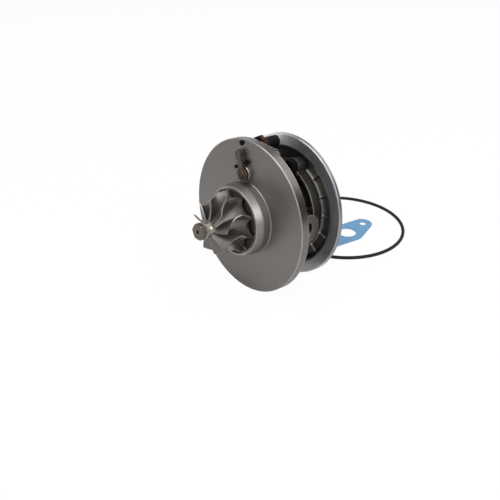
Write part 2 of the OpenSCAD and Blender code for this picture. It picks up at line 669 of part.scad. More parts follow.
// Steel shaft, welded to the turbine wheel's seal boss, with a thin end for the compressor's pieces
module rotor_shaft() color("#a5a29d") turned([
    [0, boss_end_y], [journal_r, boss_end_y], [journal_r, step_y], [stud_r, step_y],
    [stud_r, stud_end_y - 0.6], [stud_r - 0.6, stud_end_y], [0, stud_end_y]
]);

// Hardened collar that bears on the front of the thrust bearing
module thrust_collar() color("#918e89") turned([
    [stud_r + press_gap, step_y], [collar_r, step_y], [collar_r, step_y + collar_t],
    [thrust_neck_r, step_y + collar_t], [thrust_neck_r, flinger_y], [stud_r + press_gap, flinger_y]
]);

// Oil flinger and seal sleeve between the thrust bearing and the compressor wheel
module flinger_sleeve() color("#918e89") turned([
    [stud_r + press_gap, flinger_y], [collar_r, flinger_y],
    [collar_r, flinger_end_y], [sleeve_r, flinger_end_y],
    [sleeve_r, compressor_seal_y - side_gap], [sleeve_r - groove_depth, compressor_seal_y - side_gap],
    [sleeve_r - groove_depth, compressor_seal_y + seal_t + side_gap],
    [sleeve_r, compressor_seal_y + seal_t + side_gap],
    [sleeve_r, compressor_back_y], [stud_r + press_gap, compressor_back_y]
]);

// Cast aluminium compressor wheel with full and short blades
module compressor_wheel() {
    hub_end_y = compressor_rim_y + compressor_h + 2;
    tip_y0 = compressor_rim_y + compressor_tip_w;
    tip_y1 = compressor_rim_y + compressor_h;
    pitch = 360 / compressor_blades;
    bury = 0.6;
    steps = 9;
    splitter = 0.66;
    hub_wrap = 46;
    tip_wrap = 58;
    function wrap(t, most) = most * (0.35 * t + 0.65 * t * t);
    function hub_at(t) = sweep(compressor_r, compressor_rim_y, compressor_hub_r, hub_end_y, t);
    color("#c4c6c8") difference() {
        turned(concat(
            [[0, compressor_back_y], [compressor_r, compressor_back_y]],
            [for (i = [0 : steps]) hub_at(i / steps)],
            [[compressor_hub_r, compressor_top_y], [0, compressor_top_y]]
        ));
        rod_y(0, 0, stud_r + press_gap, compressor_back_y - 1, compressor_top_y + 1);
    }
    color("#c4c6c8") for (k = [0 : 2 * compressor_blades - 1])
        let (reach = k % 2 == 0 ? 1 : splitter, ts = [for (i = [0 : steps]) reach * i / steps])
        rotate([0, -k * pitch / 2, 0]) blade(
            [for (t = ts) hub_at(t) - bury * [sin(90 * t), cos(90 * t)]],
            [for (t = ts) sweep(compressor_r, tip_y0, compressor_inlet_r, tip_y1, t)],
            [for (t = ts) wrap(t, hub_wrap)], [for (t = ts) wrap(t, tip_wrap)], 1.3, 0.7, 3
        );
}

// Hexagon nut on the shaft's thin end
module compressor_nut() color("#b3b0aa") difference() {
    intersection() {
        hexagon(nut_flats, compressor_top_y, compressor_top_y + nut_h);
        turned([
            [0, compressor_top_y], [nut_flats / 2 + 2 * nut_bevel, compressor_top_y],
            [nut_flats / 2 + 2 * nut_bevel, compressor_top_y + nut_h - nut_bevel],
            [nut_flats / 2 + nut_bevel / 2, compressor_top_y + nut_h], [0, compressor_top_y + nut_h]
        ]);
    }
    rod_y(0, 0, stud_r + press_gap, compressor_top_y - 1, compressor_top_y + nut_h + 1);
}

// Floating brass bush with oil holes
module floating_bearing(y0) difference() {
    turned([
        [journal_r + running_gap, y0 + 0.5], [journal_r + running_gap + 0.5, y0], [bearing_r - 0.5, y0],
        [bearing_r, y0 + 0.5], [bearing_r, y0 + bearing_len - 0.5], [bearing_r - 0.5, y0 + bearing_len],
        [journal_r + running_gap + 0.5, y0 + bearing_len], [journal_r + running_gap, y0 + bearing_len - 0.5]
    ]);
    for (a = [45 : 90 : 315]) rotate([0, a, 0]) rod_x(y0 + bearing_len / 2, 0, 1, 0, bearing_r + 1);
}
module turbine_bearing() color("#c8a253") floating_bearing(bearing_y);
module compressor_bearing() color("#c8a253") floating_bearing(rear_bearing_y);

// Shaft through the flange that ties the two levers together, riveted over at both ends
module lever_shaft() color("#7d6a55") translate([pivot_x, 0, pivot_z]) turned([
    [0, lever_y - 1], [lever_shaft_r - 1, lever_y - 0.9], [lever_shaft_r, lever_y - 0.2],
    [lever_shaft_r, outer_end_y + 0.3], [lever_shaft_r - 0.7, outer_end_y + 0.9], [0, outer_end_y + 0.9]
]);

// Bright washer between the vane lever and the bush
module lever_washer() color("#d8d7d4") translate([pivot_x, 0, pivot_z]) turned([
    [lever_shaft_r + press_gap, washer_y], [lever_head_r - 0.3, washer_y], [lever_head_r, washer_y + 0.3],
    [lever_head_r, washer_y + washer_t], [lever_shaft_r + press_gap, washer_y + washer_t]
]);

// Lever on the flange's face: round head, straight arm and a forward finger for the vane ring
module vane_lever() color("#857c76") translate([pivot_x, 0, pivot_z]) difference() {
    union() {
        plate(lever_y, washer_y) {
            circle(r = lever_head_r);
            rotate(lever_angle) translate([0, -lever_w / 2]) square([lever_len, lever_w]);
            rotate(lever_angle) translate([lever_len, 0]) circle(r = finger_r + 0.2);
        }
        plate(lever_y - finger_len, lever_y) rotate(lever_angle) {
            translate([lever_len, 0]) circle(r = finger_r);
            translate([lever_len - finger_r, 0]) circle(r = finger_r);
            translate([lever_len - finger_r, -finger_r]) square([finger_r, 2 * finger_r]);
        }
    }
    rod_y(0, 0, lever_shaft_r + press_gap, lever_y - 1, washer_y + 1);
}

// Lever behind the flange, turned by the actuator rod
module outer_lever() color("#8a6f45") translate([pivot_x, 0, pivot_z]) difference() {
    plate(outer_y, outer_end_y) {
        circle(r = lever_shaft_r + outer_eye);
        rotate(rod_angle) polygon([
            [0, -outer_w / 2], [rod_arm + outer_shoulder + outer_w / 7, -outer_w / 2],
            [rod_arm + outer_tip, -outer_w / 5], [rod_arm + outer_shoulder, outer_w / 2], [0, outer_w / 2]
        ]);
    }
    rod_y(0, 0, lever_shaft_r + press_gap, outer_y - 1, outer_end_y + 1);
    rod_y(rod_pin_x - pivot_x, rod_pin_z - pivot_z, rivet_r + press_gap, outer_y - 1, outer_end_y + 1);
}

// Black pin for the actuator rod, riveted into the outer lever
module rod_pin() color("#23232a") translate([rod_pin_x, 0, rod_pin_z]) turned([
    [0, outer_y], [rivet_r, outer_y], [rivet_r, outer_end_y], [rod_pin_r, outer_end_y],
    [rod_pin_r, outer_end_y + rod_pin_len - pin_edge], [rod_pin_r - pin_edge, outer_end_y + rod_pin_len],
    [0, outer_end_y + rod_pin_len]
]);

// Rubber ring that seals the compressor cover on the backplate's rim, lying loose on the floor
module compressor_cover_o_ring() color("#161616") on_floor(o_ring_x, o_ring_y)
    translate([0, 0, cord_d / 2]) rotate_extrude() translate([o_ring_r, 0]) circle(d = cord_d, $fn = 32);

// Blue gasket for the oil drain flange, lying loose on the floor
module oil_drain_gasket() color("#5f96c8") on_floor(gasket_x, gasket_y) rotate(gasket_turn)
    linear_extrude(gasket_t) difference() {
        drain_outline();
        circle(r = drain_hole_r);
        for (side = [-1, 1]) translate([0, side * drain_half_pitch]) circle(r = gasket_bolt_r);
    }

bearing_housing();
heat_shield();
lever_bush();
vane_stop_pins();
nozzle_dowel();
stop_screw();
stop_lock_nut();
compressor_backplate();
backplate_bolts();
backplate_seal_ring();
thrust_bearing();
oil_deflector();
turbine_piston_ring();
compressor_piston_ring();
bearing_retaining_rings();
turbine_wheel();
rotor_shaft();
thrust_collar();
flinger_sleeve();
compressor_wheel();
compressor_nut();
turbine_bearing();
compressor_bearing();
lever_shaft();
lever_washer();
vane_lever();
outer_lever();
rod_pin();
compressor_cover_o_ring();
oil_drain_gasket();
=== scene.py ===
import math

import bmesh
import bpy
from mathutils import Matrix, Vector


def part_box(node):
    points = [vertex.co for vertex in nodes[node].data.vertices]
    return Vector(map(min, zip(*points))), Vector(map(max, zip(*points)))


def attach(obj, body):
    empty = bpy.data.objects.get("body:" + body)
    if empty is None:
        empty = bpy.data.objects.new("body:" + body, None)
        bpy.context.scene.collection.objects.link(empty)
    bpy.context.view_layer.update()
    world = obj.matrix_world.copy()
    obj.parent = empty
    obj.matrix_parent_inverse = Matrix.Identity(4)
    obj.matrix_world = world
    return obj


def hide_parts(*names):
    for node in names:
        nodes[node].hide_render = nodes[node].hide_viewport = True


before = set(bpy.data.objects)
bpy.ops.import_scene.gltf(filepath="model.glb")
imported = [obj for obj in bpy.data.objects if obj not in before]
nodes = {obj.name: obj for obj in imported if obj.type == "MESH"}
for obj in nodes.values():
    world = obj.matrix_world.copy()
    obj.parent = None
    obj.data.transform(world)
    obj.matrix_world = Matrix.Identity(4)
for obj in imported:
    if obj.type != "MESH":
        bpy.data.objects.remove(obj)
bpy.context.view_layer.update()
MM = 0.001


# Bearing housing: one iron casting. The turbine flange, its rim and the spigot are turned on a lathe,
# the port faces are milled, and the waist and the flange behind it stay as cast, dark and grainy.
def put(tree, kind, inputs=None, **settings):
    """A shader node with its settings, and its inputs by name or place: a value, or a socket to link."""
    made = tree.nodes.new("ShaderNode" + kind)
    for name, value in settings.items():
        setattr(made, name, value)
    for name, value in (inputs or {}).items():
        if isinstance(value, bpy.types.NodeSocket):
            tree.links.new(value, made.inputs[name])
        else:
            made.inputs[name].default_value = value
    return made


def calc(tree, operation, *terms):
    """A sum, product or other plain calculation of sockets and numbers."""
    return put(tree, "Math", dict(enumerate(terms)), operation=operation).outputs[0]


def between(tree, value, low, high):
    """0 below low, 1 above high, and smooth in between."""
    inputs = {"Value": value, "From Min": low, "From Max": high}
    return put(tree, "MapRange", inputs, interpolation_type="SMOOTHSTEP").outputs[0]


def mix(tree, share, first, second):
    """First colour where share is 0, second where it is 1."""
    return put(tree, "Mix", {0: share, 6: first, 7: second}, data_type="RGBA").outputs[2]


def rgb(red, green, blue):
    return (red, green, blue, 1.0)


def place(tree):
    """The three coordinates of a surface point in the object's own frame, and its distance from the shaft."""
    point = put(tree, "TexCoord").outputs["Object"]
    x, y, z = put(tree, "SeparateXYZ", {0: point}).outputs
    radius = calc(tree, "SQRT", calc(tree, "ADD", calc(tree, "MULTIPLY", x, x), calc(tree, "MULTIPLY", z, z)))
    return point, x, y, z, radius


def effect(name, inputs, outputs):
    """An empty shader node group with named number inputs and outputs, its tree and its two end nodes."""
    tree = bpy.data.node_groups.new(name, "ShaderNodeTree")
    for label, value in inputs.items():
        tree.interface.new_socket(label, in_out="INPUT", socket_type="NodeSocketFloat").default_value = value
    for label in outputs:
        tree.interface.new_socket(label, in_out="OUTPUT", socket_type="NodeSocketFloat")
    return tree, tree.nodes.new("NodeGroupInput"), tree.nodes.new("NodeGroupOutput")


def use(tree, group, **values):
    """Places a shared effect in a material, with its own values."""
    made = tree.nodes.new("ShaderNodeGroup")
    made.node_tree = group
    for label, value in values.items():
        made.inputs[label.replace("_", " ")].default_value = value
    return made.outputs


# Fine rings that the lathe leaves: they run round the shaft, along a face or along a wall alike.
turning_marks, ends_in, ends_out = effect("turning marks", {"Rings per metre": 4000.0}, ["Groove", "Streak"])
_, _, along, _, from_shaft = place(turning_marks)
across = calc(turning_marks, "MULTIPLY", calc(turning_marks, "ADD", from_shaft, along), ends_in.outputs[0])
fine = put(turning_marks, "TexNoise", {"W": across, "Scale": 1.0, "Detail": 2.0}, noise_dimensions="1D")
broad = put(
    turning_marks, "TexNoise", {"W": calc(turning_marks, "MULTIPLY", across, 0.11), "Scale": 1.0, "Detail": 1.0},
    noise_dimensions="1D")
turning_marks.links.new(fine.outputs[0], ends_out.inputs["Groove"])
turning_marks.links.new(broad.outputs[0], ends_out.inputs["Streak"])

# Sand-cast skin: a fine grain, and a slow mottle from scale and handling.
cast_grain, ends_in, ends_out = effect("cast grain", {"Grains per metre": 1500.0}, ["Grain", "Mottle"])
point = place(cast_grain)[0]
grain = put(cast_grain, "TexNoise", {"Vector": point, "Scale": ends_in.outputs[0], "Detail": 4.0})
slow = calc(cast_grain, "MULTIPLY", ends_in.outputs[0], 0.08)
mottle = put(cast_grain, "TexNoise", {"Vector": point, "Scale": slow, "Detail": 3.0})
cast_grain.links.new(grain.outputs[0], ends_out.inputs["Grain"])
cast_grain.links.new(mottle.outputs[0], ends_out.inputs["Mottle"])

# Edges that tools and handling have broken and rubbed bright.
edge_wear, ends_in, ends_out = effect("edge wear", {"Width": 0.0003, "Unevenness": 0.4}, ["Worn"])
rounded = put(edge_wear, "Bevel", {"Radius": ends_in.outputs["Width"]}, samples=6).outputs[0]
flat = put(edge_wear, "NewGeometry").outputs["Normal"]
facing = put(edge_wear, "VectorMath", {0: rounded, 1: flat}, operation="DOT_PRODUCT").outputs["Value"]
worn = between(edge_wear, facing, 0.985, 0.86)
patchy = put(edge_wear, "TexNoise", {"Vector": place(edge_wear)[0], "Scale": 260.0, "Detail": 3.0}).outputs[0]
missing = calc(edge_wear, "MULTIPLY", between(edge_wear, patchy, 0.42, 0.62), ends_in.outputs["Unevenness"])
edge_wear.links.new(
    calc(edge_wear, "MULTIPLY", worn, calc(edge_wear, "SUBTRACT", 1.0, missing)), ends_out.inputs["Worn"])


def material(name):
    """A new material, its tree and its Principled shader."""
    made = bpy.data.materials.new(name)
    made.use_nodes = True
    return made, made.node_tree, made.node_tree.nodes["Principled BSDF"]


def feed(tree, shader, **sockets):
    """Links sockets, or sets plain values, on a shader's inputs."""
    for label, value in sockets.items():
        socket = shader.inputs[label.replace("_", " ")]
        if isinstance(value, bpy.types.NodeSocket):
            tree.links.new(value, socket)
        else:
            socket.default_value = value


def bump(tree, height, depth, strength=1.0):
    """A surface normal from a height between 0 and 1 that stands for this depth in metres."""
    return put(tree, "Bump", {"Height": height, "Distance": depth, "Strength": strength}).outputs[0]


def finish(node, *materials):
    """Gives a CAD node's object these materials in place of its plain one."""
    slots = nodes[node].data.materials
    slots.clear()
    for made in materials:
        slots.append(made)


def piece(name, shape, body, materials, replaced=(), sharp=38):
    """Makes a closed mesh into a piece of the object, riding on its body, smooth but for its sharp edges."""
    bmesh.ops.recalc_face_normals(shape, faces=shape.faces)
    for face in shape.faces:
        face.smooth = True
    mesh = bpy.data.meshes.new(name)
    shape.to_mesh(mesh)
    shape.free()
    mesh.set_sharp_from_angle(angle=math.radians(sharp))
    for made in materials:
        mesh.materials.append(made)
    made = bpy.data.objects.new(name, mesh)
    bpy.context.scene.collection.objects.link(made)
    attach(made, body)
    if replaced:
        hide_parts(*replaced)
    return made


def thread(shape, start, end, root, crest, pitch):
    """Adds the ridge of a screw thread, a helix from start to end that fades in and out."""
    axis = (end - start).normalized()
    one = axis.orthogonal().normalized()
    two = axis.cross(one)
    steps_per_turn = 32
    count = round((end - start).length / (pitch * MM) * steps_per_turn)
    sections = []
    for k in range(count + 1):
        a = 2 * math.pi * k / steps_per_turn
        out = one * math.cos(a) + two * math.sin(a)
        high = root + (crest - root) * min(1.0, 0.05 + 2 * min(k, count - k) / steps_per_turn)
        at = start + axis * pitch * MM * k / steps_per_turn
        sections.append([
            shape.verts.new(at + (out * r + axis * pitch * share) * MM) for r, share in (
                (root, -0.45), (high, 0.0), (root, 0.45))])
    for near, far in zip(sections, sections[1:]):
        for i in range(3):
            j = (i + 1) % 3
            shape.faces.new((near[i], near[j], far[j], far[i]))
    shape.faces.new(sections[0])
    shape.faces.new(sections[-1])


housing_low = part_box("bearing_housing")[0]
flange_back, flange_rim_r, rim_chamfer_r = 6.4 * MM, 61 * MM, 60.5 * MM
spigot_front = -1.0 * MM
rear_flange_y, rear_flange_r = 36.4 * MM, 36.5 * MM
inlet_x, drain_x, port_y, port_face = 44 * MM, 48 * MM, 22.4 * MM, 0.3 * MM
inlet_hole_r, drain_tap_r, drain_half_pitch = 5.2, 2.5, 24.3 * MM
inlet_cut_share = 0.35
iron, tree, shader = material("machined and cast iron")
_, x, y, z, radius = place(tree)
marks = use(tree, turning_marks, Rings_per_metre=5200.0)
grain = use(tree, cast_grain, Grains_per_metre=1700.0)
worn = use(tree, edge_wear, Width=0.00045, Unevenness=0.25)["Worn"]
turned = between(tree, y, flange_back, flange_back - 0.05 * MM)
inlet_milled = calc(
    tree, "MULTIPLY", between(tree, x, inlet_x - port_face, inlet_x - port_face / 3),
    between(tree, y, 2 * flange_back, 2.1 * flange_back))
drain_milled = calc(
    tree, "MULTIPLY", between(tree, calc(tree, "ADD", x, drain_x), port_face, port_face / 3),
    between(tree, y, 1.05 * flange_back, 1.1 * flange_back))
inlet_milled = calc(tree, "MULTIPLY", inlet_milled, inlet_cut_share)
turned = calc(tree, "MAXIMUM", turned, calc(tree, "MAXIMUM", inlet_milled, drain_milled))
cut_colour = mix(tree, marks["Streak"], rgb(0.163, 0.152, 0.146), rgb(0.179, 0.168, 0.161))
cast_colour = mix(tree, grain["Mottle"], rgb(0.040, 0.037, 0.034), rgb(0.105, 0.097, 0.090))
colour = mix(tree, turned, cast_colour, cut_colour)
# Painted highlight: the chamfer of the flange's rim gets a lighter tone, for the bright line that light draws
# along that edge.
chamfer_painted_highlight = calc(
    tree, "MULTIPLY", between(tree, y, 0.0, -0.05 * MM),
    between(tree, radius, rim_chamfer_r, rim_chamfer_r + 0.15 * MM))
colour = mix(tree, chamfer_painted_highlight, colour, rgb(0.27, 0.255, 0.235))
# Painted highlight: the spigot gets a lighter tone than the turned face, for the light its taper catches.
spigot = between(tree, y, spigot_front, spigot_front - 0.5 * MM)
# Painted shade: the rim's wall gets a darker tone than the turned face. The same mask also lowers the rim wall's
# roughness.
rim_wall_painted_shade = calc(
    tree, "MULTIPLY", turned, between(tree, radius, flange_rim_r - 0.08 * MM, flange_rim_r - 0.04 * MM))
colour = mix(tree, spigot, colour, rgb(0.265, 0.247, 0.236))
colour = mix(tree, rim_wall_painted_shade, colour, rgb(0.135, 0.126, 0.121))
# Painted highlight: a bright band along the front edge of the rear flange, which lies in the big flange's shade,
# for the light line on that edge.
edge_along = calc(
    tree, "MULTIPLY", between(tree, y, rear_flange_y - 0.3 * MM, rear_flange_y - 0.1 * MM),
    between(tree, y, rear_flange_y + 0.6 * MM, rear_flange_y + 0.4 * MM))
edge_across = calc(
    tree, "MULTIPLY", between(tree, radius, rear_flange_r - 0.5 * MM, rear_flange_r - 0.3 * MM),
    between(tree, radius, rear_flange_r + 0.5 * MM, rear_flange_r + 0.2 * MM))
rear_edge_painted_highlight = calc(tree, "MULTIPLY", edge_along, edge_across)
colour = mix(tree, rear_edge_painted_highlight, colour, rgb(0.50, 0.465, 0.41))
# Painted shade: the inside of the oil inlet's tapped hole is painted near black, and its edge wear taken out, for
# the shade down the bore.
from_port = calc(tree, "SQRT", calc(tree, "ADD", calc(tree, "MULTIPLY", z, z), calc(
    tree, "POWER", calc(tree, "SUBTRACT", y, port_y), 2.0)))
in_hole = between(tree, from_port, (inlet_hole_r + 0.4) * MM, (inlet_hole_r + 0.1) * MM)
below_face = calc(
    tree, "MULTIPLY", between(tree, x, inlet_x - 0.2 * MM, inlet_x - 0.5 * MM), between(tree, x, 0.0, 10 * MM))
hole_painted_shade = calc(tree, "MULTIPLY", in_hole, below_face)
colour = mix(tree, hole_painted_shade, colour, rgb(0.014, 0.012, 0.010))
worn = calc(tree, "MULTIPLY", worn, calc(tree, "SUBTRACT", 1.0, hole_painted_shade))
feed(
    tree, shader,
    Base_Color=mix(tree, worn, colour, rgb(0.62, 0.59, 0.57)),
    Metallic=1.0,
    Roughness=mix(
        tree, turned, calc(tree, "MULTIPLY_ADD", grain["Grain"], 0.12, 0.48),
        calc(tree, "MULTIPLY_ADD", rim_wall_painted_shade, -0.14, 0.42)),
    Normal=bump(
        tree, mix(tree, turned, grain["Grain"], marks["Groove"]),
        calc(tree, "MULTIPLY_ADD", turned, -0.000137, 0.00014), 0.6))
finish("bearing_housing", iron)

inlet_thread_top, inlet_thread_end, inlet_pitch = 42.4 * MM, 33 * MM, 1.5
drain_thread_top, drain_thread_end, drain_pitch = -47.4 * MM, -42 * MM, 1.0
threads = bmesh.new()
thread(
    threads, Vector((inlet_thread_top, port_y, 0)), Vector((inlet_thread_end, port_y, 0)),
    inlet_hole_r, inlet_hole_r - 0.6, inlet_pitch)
for height in (-drain_half_pitch, drain_half_pitch):
    thread(
        threads, Vector((drain_thread_top, port_y, height)), Vector((drain_thread_end, port_y, height)),
        drain_tap_r, drain_tap_r - 0.4, drain_pitch)
piece("port_threads", threads, "cartridge", (iron,), sharp=25)

# Heat shield: a cup pressed from thin heat-resisting sheet, drawn in steps and dulled by its first heating.
# It sits in the housing's bore behind the turbine wheel, and only its lip shows.
shield_steel, tree, shader = material("pressed shield steel")
marks = use(tree, turning_marks, Rings_per_metre=1800.0)
grain = use(tree, cast_grain, Grains_per_metre=900.0)
worn = use(tree, edge_wear, Width=0.0003, Unevenness=0.15)["Worn"]
sheet_colour = mix(tree, grain["Mottle"], rgb(0.060, 0.056, 0.054), rgb(0.130, 0.122, 0.118))
feed(
    tree, shader,
    Base_Color=mix(tree, worn, sheet_colour, rgb(0.66, 0.63, 0.60)),
    Metallic=1.0,
    Roughness=calc(tree, "MULTIPLY_ADD", marks["Streak"], 0.2, 0.36),
    Normal=bump(tree, marks["Groove"], 0.00002, 0.5))
finish("heat_shield", shield_steel)

# Bush of the lever's shaft, lock nut of the stop screw, and the rings and collars inside: hardened steel,
# ground and dark. The bush is pressed into the flange, the split rings spring into their grooves.
hard_steel, tree, shader = material("ground hard steel")
grain = use(tree, cast_grain, Grains_per_metre=2600.0)
worn = use(tree, edge_wear, Width=0.0002, Unevenness=0.4)["Worn"]
steel_colour = mix(tree, grain["Mottle"], rgb(0.085, 0.078, 0.074), rgb(0.20, 0.188, 0.18))
feed(
    tree, shader,
    Base_Color=mix(tree, worn, steel_colour, rgb(0.55, 0.53, 0.51)),
    Metallic=1.0,
    Roughness=calc(tree, "MULTIPLY_ADD", grain["Grain"], 0.18, 0.28),
    Normal=bump(tree, grain["Grain"], 0.00001, 0.4))
for node in (
        "lever_bush", "stop_lock_nut", "turbine_piston_ring", "compressor_piston_ring",
        "bearing_retaining_rings", "thrust_collar", "flinger_sleeve"):
    finish(node, hard_steel)

# The lever's washer and the stop screw: small steel parts, zinc plated. The washer lies under the lever and
# is still bright. The screw is set in its lug with a lock nut, and has dulled.
zinc, tree, shader = material("bright zinc plating")
grain = use(tree, cast_grain, Grains_per_metre=2200.0)
worn = use(tree, edge_wear, Width=0.00015, Unevenness=0.5)["Worn"]
plating = mix(tree, grain["Mottle"], rgb(0.52, 0.50, 0.46), rgb(0.78, 0.77, 0.74))
feed(
    tree, shader,
    Base_Color=mix(tree, worn, plating, rgb(0.88, 0.87, 0.85)),
    Metallic=1.0,
    Roughness=calc(tree, "MULTIPLY_ADD", grain["Grain"], 0.2, 0.16),
    Normal=bump(tree, grain["Grain"], 0.000012, 0.4))
finish("lever_washer", zinc)

dull_zinc, tree, shader = material("dulled zinc plating")
grain = use(tree, cast_grain, Grains_per_metre=2200.0)
worn = use(tree, edge_wear, Width=0.00015, Unevenness=0.5)["Worn"]
plating = mix(tree, grain["Mottle"], rgb(0.13, 0.119, 0.108), rgb(0.21, 0.195, 0.180))
feed(
    tree, shader,
    Base_Color=mix(tree, worn, plating, rgb(0.42, 0.40, 0.37)),
    Metallic=1.0,
    Roughness=calc(tree, "MULTIPLY_ADD", grain["Grain"], 0.2, 0.34),
    Normal=bump(tree, grain["Grain"], 0.000012, 0.4))
finish("stop_screw", dull_zinc)

screw_low, screw_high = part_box("stop_screw")
screw_middle = (screw_low + screw_high) / 2
screw_r = (screw_high.y - screw_low.y) / 2 / MM
nut_low, nut_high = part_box("stop_lock_nut")
lug_end = nut_high.x + 4 * MM
threads = bmesh.new()
for begin, end in ((screw_low.x + MM, nut_low.x - 0.2 * MM), (lug_end + 0.3 * MM, screw_high.x - 0.4 * MM)):
    thread(
        threads, Vector((begin, screw_middle.y, screw_middle.z)), Vector((end, screw_middle.y, screw_middle.z)),
        screw_r - 0.02, screw_r + 0.22, 0.7)
piece("stop_screw_thread", threads, "cartridge", (dull_zinc,), sharp=25)

# Compressor backplate: die-cast aluminium. The ring's face and rim and the back are turned bright,
# the dish between them keeps the dull grey skin of the die, with its ribs. Four bolts hold it to the housing.

# Painted reflection: two bright fans, opposite each other, painted across a turned face where fine turning would
# throw them. The angle is theirs round the shaft.
painted_reflection_fans, ends_in, ends_out = effect("painted reflection fans", {"Angle": 0.0}, ["Fan"])
_, x, _, z, from_shaft = place(painted_reflection_fans)
reach = calc(
    painted_reflection_fans, "ADD", calc(painted_reflection_fans, "MULTIPLY", x, calc(painted_reflection_fans, "COSINE", ends_in.outputs[0])),
    calc(painted_reflection_fans, "MULTIPLY", z, calc(painted_reflection_fans, "SINE", ends_in.outputs[0])))
facing = calc(painted_reflection_fans, "POWER", calc(painted_reflection_fans, "DIVIDE", reach, from_shaft), 2.0)
painted_reflection_fans.links.new(between(painted_reflection_fans, facing, 0.58, 1.0), ends_out.inputs["Fan"])

plate_low, plate_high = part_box("compressor_backplate")
ring_inner_edge, ring_rim_r = 48.7 * MM, 58 * MM
collar_front, collar_inner, collar_outer = 44.15 * MM, 37.7 * MM, 38.6 * MM
dish_inner, dish_outer, dish_floor = 38.4 * MM, 47.6 * MM, 45.8 * MM
plate_rear = plate_high.y - 0.3 * MM
fan_angle = math.radians(116)
aluminium, tree, shader = material("die-cast aluminium plate")
_, _, y, _, radius = place(tree)
marks = use(tree, turning_marks, Rings_per_metre=6400.0)
grain = use(tree, cast_grain, Grains_per_metre=1300.0)
worn = use(tree, edge_wear, Width=0.0003, Unevenness=0.3)["Worn"]
turned = calc(
    tree, "MAXIMUM", between(tree, radius, ring_inner_edge, ring_inner_edge + 0.1 * MM),
    between(tree, y, plate_rear - 0.5 * MM, plate_rear))
# Painted reflection: the turned faces go from a dark tone to a light one across the fans.
fans = use(tree, painted_reflection_fans, Angle=fan_angle)
cut_colour = mix(tree, fans["Fan"], rgb(0.235, 0.240, 0.251), rgb(0.63, 0.632, 0.625))
skin_colour = mix(tree, grain["Mottle"], rgb(0.165, 0.160, 0.152), rgb(0.240, 0.233, 0.222))
colour = mix(tree, turned, skin_colour, cut_colour)
# Painted highlight: the collar's wall, in the flange's shade, gets a bright tone.
collar_painted_highlight = calc(tree, "MULTIPLY", between(tree, y, collar_front, collar_front + 0.25 * MM), calc(
    tree, "MULTIPLY", between(tree, radius, collar_inner, collar_inner + 0.1 * MM),
    between(tree, radius, collar_outer, collar_outer - 0.3 * MM)))
colour = mix(tree, collar_painted_highlight, colour, rgb(0.50, 0.485, 0.46))
in_dish = calc(
    tree, "MULTIPLY", between(tree, radius, dish_inner, dish_inner + 0.3 * MM),
    between(tree, radius, dish_outer, dish_outer - 0.8 * MM))
# Painted shade: the rib tops and the smooth side of the dish, above the pocket floor, get a dark tone.
ribs = calc(tree, "MULTIPLY", in_dish, between(tree, y, dish_floor - 0.05 * MM, dish_floor - 0.2 * MM))
colour = mix(tree, ribs, colour, rgb(0.068, 0.066, 0.063))
worn = calc(tree, "MULTIPLY", worn, calc(tree, "SUBTRACT", 1.0, in_dish))
# Painted shade: the ring's rim wall gets a darker tone than the turned face.
rim_wall_painted_shade = between(tree, radius, ring_rim_r - 0.08 * MM, ring_rim_r - 0.04 * MM)
colour = mix(tree, rim_wall_painted_shade, colour, rgb(0.17, 0.172, 0.178))
feed(
    tree, shader,
    Base_Color=mix(tree, worn, colour, rgb(0.72, 0.73, 0.75)),
    Metallic=calc(tree, "MULTIPLY_ADD", turned, -0.35, 1.0),
    Roughness=mix(tree, turned, calc(tree, "MULTIPLY_ADD", grain["Grain"], 0.08, 0.34), rgb(0.22, 0.22, 0.22)),
    Normal=bump(
        tree, mix(tree, turned, grain["Grain"], marks["Groove"]),
        calc(tree, "MULTIPLY_ADD", turned, -0.000059, 0.00006), 0.5))
finish("compressor_backplate", aluminium)


def turn(shape, rows, columns, bored=False):
    """Adds a closed skin round the shaft. A row gives the radius and the place along the shaft at an angle.
    A bored skin closes on itself, any other has flat ends."""
    angles = [2 * math.pi * k / columns for k in range(columns)]
    rings = []
    for row in rows:
        spots = [row(a) for a in angles]
        rings.append([shape.verts.new((r * math.cos(a), y, r * math.sin(a))) for a, (r, y) in zip(angles, spots)])
    for near, far in zip(rings, rings[1:] + (rings[:1] if bored else [])):
        for k in range(columns):
            n = (k + 1) % columns
            shape.faces.new((near[k], near[n], far[n], far[k]))
    if not bored:
        shape.faces.new(rings[0])
        shape.faces.new(rings[-1])


def even(radius, along):
    """A row that is the same all round."""
    return lambda angle: (radius * MM, along * MM)


def ease(value, low, high):
    """0 at low, 1 at high, and smooth in between."""
    t = min(1.0, max(0.0, (value - low) / (high - low)))
    return t * t * (3 - 2 * t)


seat_y, rib_top, pocket_floor = 47.4, 44.0, 45.8
register_r, collar_r, slope_r, ring_in_r, ring_out_r = 36.9, 37.9, 45.2, 48.8, 58.0
ring_y, ring_back, plate_back = 42.2, 45.6, plate_high.y / MM
spigot_r, spigot_end, back_r = 52.0, 50.0, 47.0
pilot_y, pilot_r, bore_r = seat_y - 3, 21.9, 7.4
rib_count, first_rib, half_rib, smooth_side = 16, 4.5, 0.75, (75, 113)
ears, ear_circle, ear_r = (76, 130, 230, 284), 38.5, 6.4
dish_rows = (
    36.95, 37.15, 37.6, 37.8, 37.95, 38.1, 38.25, 38.4, 38.8, 39.4, 40.2, 41.2, 42.2, 43.2, 43.8, 44.2, 44.6, 45.0,
    45.3, 45.6, 46.0, 46.4, 46.8, 47.2, 47.6)


